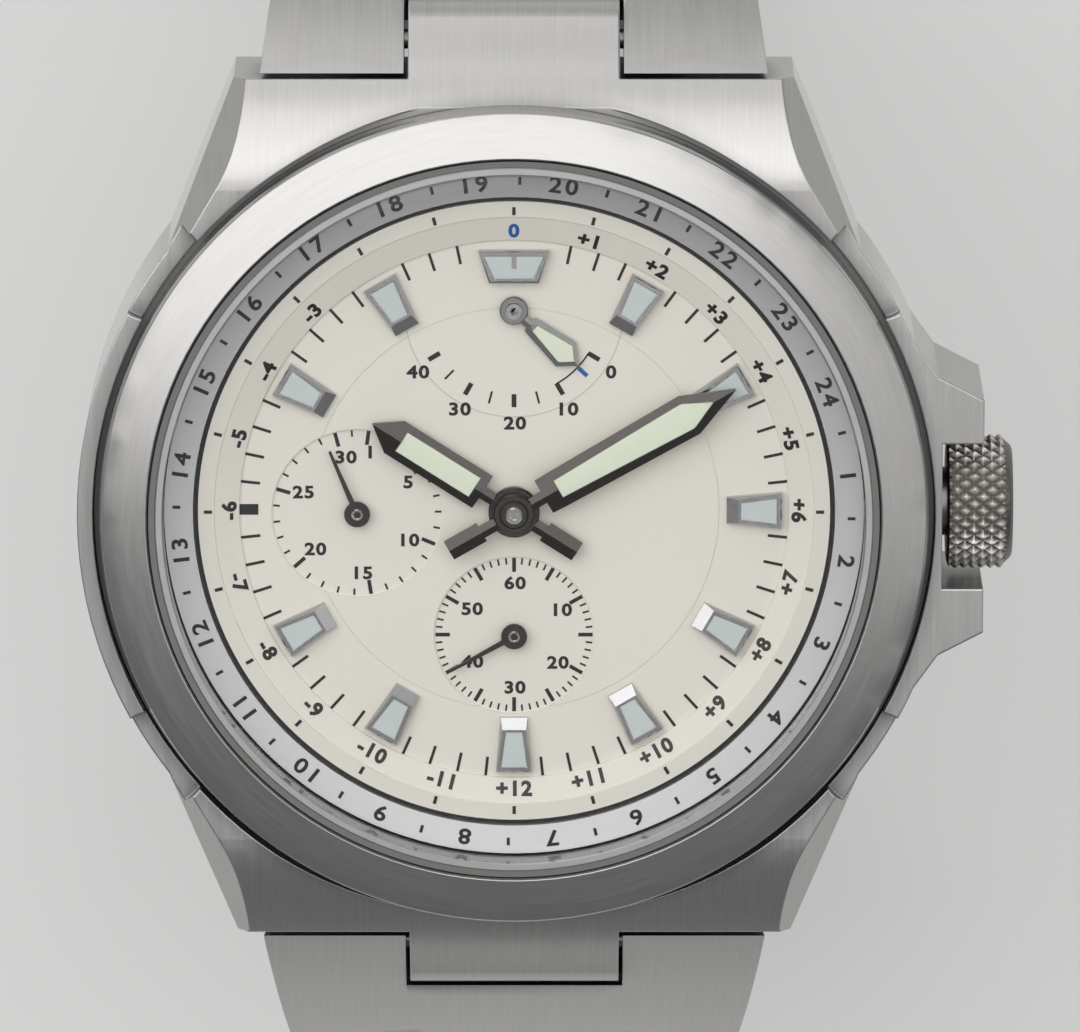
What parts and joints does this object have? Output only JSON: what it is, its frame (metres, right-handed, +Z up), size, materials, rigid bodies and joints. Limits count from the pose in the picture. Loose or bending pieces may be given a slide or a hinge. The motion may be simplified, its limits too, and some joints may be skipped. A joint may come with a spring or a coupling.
{
  "type": "wristwatch",
  "caption": "World time wristwatch with a steel case, turning bezel and inner hour ring, subdials, knurled crown and a linked steel bracelet closed by a folding clasp.",
  "frame": {"origin": "on the flat outer face of the clasp cover, straight below the centre of the dial", "axes": "+Z up out of the dial, +Y to 12 o'clock, +X to the crown"},
  "size_m": [0.0476, 0.0672, 0.0535],
  "materials": {
    "brushed_case_steel": "brushed lengthwise",
    "brushed_bezel_steel": "brushed round",
    "case_back_steel": "turned",
    "brushed_link_steel": "brushed lengthwise, polished bevels",
    "polished_blade_steel": "polished",
    "pin_steel": "turned",
    "crown_steel": "knurled, bead blasted",
    "crystal_glass": "clear, bevelled",
    "gasket_rubber": "matt",
    "spring_steel": "blank",
    "magnet_metal": "plated",
    "hour_ring_silver": "silver grey, satin",
    "zone_ring_cream": "cream, satin",
    "dial_cream": "cream, satin",
    "marker_metal": "polished grey",
    "marker_lume": "pale blue-grey fill",
    "hand_lume": "pale green fill",
    "hand_gunmetal": "dark gunmetal",
    "reserve_hand_metal": "grey",
    "movement_plate": "rhodium plated",
    "holder_plastic": "moulded",
    "gear_brass": "gilt",
    "rotor_metal": "brushed"
  },
  "bodies": {
    "case": {"case_body": "brushed_case_steel", "crown_tube": "pin_steel", "crystal": "crystal_glass", "crystal_gasket": "gasket_rubber", "bezel_spring": "spring_steel", "dial": "dial_cream", "zone_ring": "zone_ring_cream", "hour_markers": "marker_metal", "marker_lume": "marker_lume", "movement_holder": "holder_plastic", "main_plate": "movement_plate", "train_bridge": "movement_plate", "balance_cock": "movement_plate", "movement_screws": "pin_steel", "case_back": "case_back_steel", "case_back_gasket": "gasket_rubber", "lug_pins": "pin_steel", "rotor_post": "pin_steel"},
    "bezel": {"bezel": "brushed_bezel_steel", "bezel_magnets": "magnet_metal"},
    "hour_ring": {"hour_ring": "hour_ring_silver", "ring_magnets": "magnet_metal"},
    "crown_slider": {"crown_gasket": "gasket_rubber"},
    "crown": {"crown": "crown_steel", "winding_stem": "pin_steel"},
    "minute_hand": {"minute_hand": "hand_gunmetal", "minute_lume": "hand_lume", "cannon_pinion": "gear_brass"},
    "hour_hand": {"hour_hand": "hand_gunmetal", "hour_lume": "hand_lume", "hour_wheel": "gear_brass"},
    "minute_wheel": {"minute_wheel": "gear_brass"},
    "seconds_hand": {"seconds_hand": "hand_gunmetal"},
    "date_hand": {"date_hand": "hand_gunmetal"},
    "reserve_hand": {"reserve_hand": "reserve_hand_metal", "reserve_lume": "hand_lume"},
    "rotor": {"rotor": "rotor_metal", "rotor_bearing": "pin_steel"},
    "mainspring_barrel": {"mainspring_barrel": "gear_brass"},
    "balance_wheel": {"balance_wheel": "gear_brass"},
    "link_12_1": {"link_12_1": "brushed_link_steel"},
    "link_12_2": {"link_12_2": "brushed_link_steel"},
    "link_12_3": {"link_12_3": "brushed_link_steel"},
    "link_12_4": {"link_12_4": "brushed_link_steel"},
    "link_12_5": {"link_12_5": "brushed_link_steel"},
    "link_12_6": {"link_12_6": "brushed_link_steel"},
    "link_6_1": {"link_6_1": "brushed_link_steel"},
    "link_6_2": {"link_6_2": "brushed_link_steel"},
    "link_6_3": {"link_6_3": "brushed_link_steel"},
    "link_6_4": {"link_6_4": "brushed_link_steel"},
    "link_6_5": {"link_6_5": "brushed_link_steel"},
    "link_6_6": {"link_6_6": "brushed_link_steel"},
    "clasp_cover": {"clasp_cover": "brushed_link_steel", "clasp_cover_pin": "pin_steel"},
    "clasp_middle_blade": {"clasp_middle_blade": "polished_blade_steel", "clasp_fold_pin": "pin_steel"},
    "clasp_inner_blade": {"clasp_inner_blade": "polished_blade_steel"},
    "clasp_button_right": {"clasp_button_right": "pin_steel"},
    "clasp_button_left": {"clasp_button_left": "pin_steel"}
  },
  "joints": [
    {"name": "bezel_turn", "type": "hinge", "parent": "case", "child": "bezel", "pos_m": [0, 0, 0.05179], "axis": [0, 0, -1], "continuous": true},
    {"name": "hour_ring_turn", "type": "hinge", "parent": "case", "child": "hour_ring", "pos_m": [0, 0, 0.05079], "axis": [0, 0, -1], "continuous": true},
    {"name": "crown_pull", "type": "slide", "parent": "case", "child": "crown_slider", "axis": [1, 0, 0], "range_m": [0, 0.0024]},
    {"name": "crown_turn", "type": "hinge", "parent": "crown_slider", "child": "crown", "pos_m": [0.023, 0, 0.04779], "axis": [1, 0, 0], "continuous": true},
    {"name": "minute_hand_turn", "type": "hinge", "parent": "case", "child": "minute_hand", "pos_m": [0, 0, 0.05079], "axis": [0, 0, -1], "continuous": true},
    {"name": "hour_hand_turn", "type": "hinge", "parent": "case", "child": "hour_hand", "pos_m": [0, 0, 0.05079], "axis": [0, 0, -1], "continuous": true},
    {"name": "minute_wheel_turn", "type": "hinge", "parent": "case", "child": "minute_wheel", "pos_m": [0.00212, 0.00212, 0.04879], "axis": [0, 0, -1], "continuous": true},
    {"name": "seconds_hand_turn", "type": "hinge", "parent": "case", "child": "seconds_hand", "pos_m": [0, -0.00655, 0.04979], "axis": [0, 0, -1], "continuous": true},
    {"name": "date_hand_turn", "type": "hinge", "parent": "case", "child": "date_hand", "pos_m": [-0.00797, -0.0002, 0.04979], "axis": [0, 0, -1], "continuous": true},
    {"name": "reserve_hand_turn", "type": "hinge", "parent": "case", "child": "reserve_hand", "pos_m": [0, 0.01035, 0.04979], "axis": [0, 0, -1], "range_deg": [-9.7, 108.3]},
    {"name": "rotor_turn", "type": "hinge", "parent": "case", "child": "rotor", "pos_m": [0, 0, 0.04379], "axis": [0, 0, 1], "continuous": true},
    {"name": "barrel_turn", "type": "hinge", "parent": "case", "child": "mainspring_barrel", "pos_m": [-0.0066, 0.0052, 0.04579], "axis": [0, 0, 1], "continuous": true},
    {"name": "balance_swing", "type": "hinge", "parent": "case", "child": "balance_wheel", "pos_m": [0.0076, -0.0056, 0.04579], "axis": [0, 0, 1], "range_deg": [-150, 150]},
    {"name": "link_12_1_hinge", "type": "hinge", "parent": "case", "child": "link_12_1", "pos_m": [0, 0.0235, 0.04559], "axis": [1, 0, 0], "range_deg": [0, 3]},
    {"name": "link_12_2_hinge", "type": "hinge", "parent": "link_12_1", "child": "link_12_2", "pos_m": [0, 0.02891, 0.0389], "axis": [1, 0, 0], "range_deg": [0, 25]},
    {"name": "link_12_3_hinge", "type": "hinge", "parent": "link_12_2", "child": "link_12_3", "pos_m": [0, 0.03157, 0.03073], "axis": [1, 0, 0], "range_deg": [0, 22]},
    {"name": "link_12_4_hinge", "type": "hinge", "parent": "link_12_3", "child": "link_12_4", "pos_m": [0, 0.03157, 0.02213], "axis": [1, 0, 0], "range_deg": [0, 22]},
    {"name": "link_12_5_hinge", "type": "hinge", "parent": "link_12_4", "child": "link_12_5", "pos_m": [0, 0.02891, 0.01395], "axis": [1, 0, 0], "range_deg": [0, 24]},
    {"name": "link_12_6_hinge", "type": "hinge", "parent": "link_12_5", "child": "link_12_6", "pos_m": [0, 0.02362, 0.00717], "axis": [1, 0, 0], "range_deg": [0, 27]},
    {"name": "link_6_1_hinge", "type": "hinge", "parent": "case", "child": "link_6_1", "pos_m": [0, -0.0235, 0.04559], "axis": [-1, 0, 0], "range_deg": [0, 3]},
    {"name": "link_6_2_hinge", "type": "hinge", "parent": "link_6_1", "child": "link_6_2", "pos_m": [0, -0.02891, 0.0389], "axis": [-1, 0, 0], "range_deg": [0, 25]},
    {"name": "link_6_3_hinge", "type": "hinge", "parent": "link_6_2", "child": "link_6_3", "pos_m": [0, -0.03157, 0.03073], "axis": [-1, 0, 0], "range_deg": [0, 22]},
    {"name": "link_6_4_hinge", "type": "hinge", "parent": "link_6_3", "child": "link_6_4", "pos_m": [0, -0.03157, 0.02213], "axis": [-1, 0, 0], "range_deg": [0, 22]},
    {"name": "link_6_5_hinge", "type": "hinge", "parent": "link_6_4", "child": "link_6_5", "pos_m": [0, -0.02891, 0.01395], "axis": [-1, 0, 0], "range_deg": [0, 24]},
    {"name": "link_6_6_hinge", "type": "hinge", "parent": "link_6_5", "child": "link_6_6", "pos_m": [0, -0.02362, 0.00717], "axis": [-1, 0, 0], "range_deg": [0, 27]},
    {"name": "clasp_cover_hinge", "type": "hinge", "parent": "link_6_6", "child": "clasp_cover", "pos_m": [0, -0.0161, 0.003], "axis": [-1, 0, 0], "range_deg": [0, 20]},
    {"name": "clasp_blade_hinge", "type": "hinge", "parent": "clasp_cover", "child": "clasp_middle_blade", "pos_m": [0, 0.0116, 0.00225], "axis": [-1, 0, 0], "range_deg": [0, 60]},
    {"name": "clasp_fold_hinge", "type": "hinge", "parent": "clasp_middle_blade", "child": "clasp_inner_blade", "pos_m": [0, -0.011, 0.00285], "axis": [1, 0, 0], "range_deg": [0, 90]},
    {"name": "clasp_button_right_press", "type": "slide", "parent": "clasp_cover", "child": "clasp_button_right", "axis": [-1, 0, 0], "range_m": [0, 0.0006], "stiffness_N_per_m": 400},
    {"name": "clasp_button_left_press", "type": "slide", "parent": "clasp_cover", "child": "clasp_button_left", "axis": [1, 0, 0], "range_m": [0, 0.0006], "stiffness_N_per_m": 400}
  ],
  "couplings": [
    {"joint": "hour_ring_turn", "follows": "bezel_turn", "ratio": 1},
    {"joint": "hour_hand_turn", "follows": "minute_hand_turn", "ratio": 0.083333},
    {"joint": "minute_wheel_turn", "follows": "minute_hand_turn", "ratio": -0.33333}
  ]
}
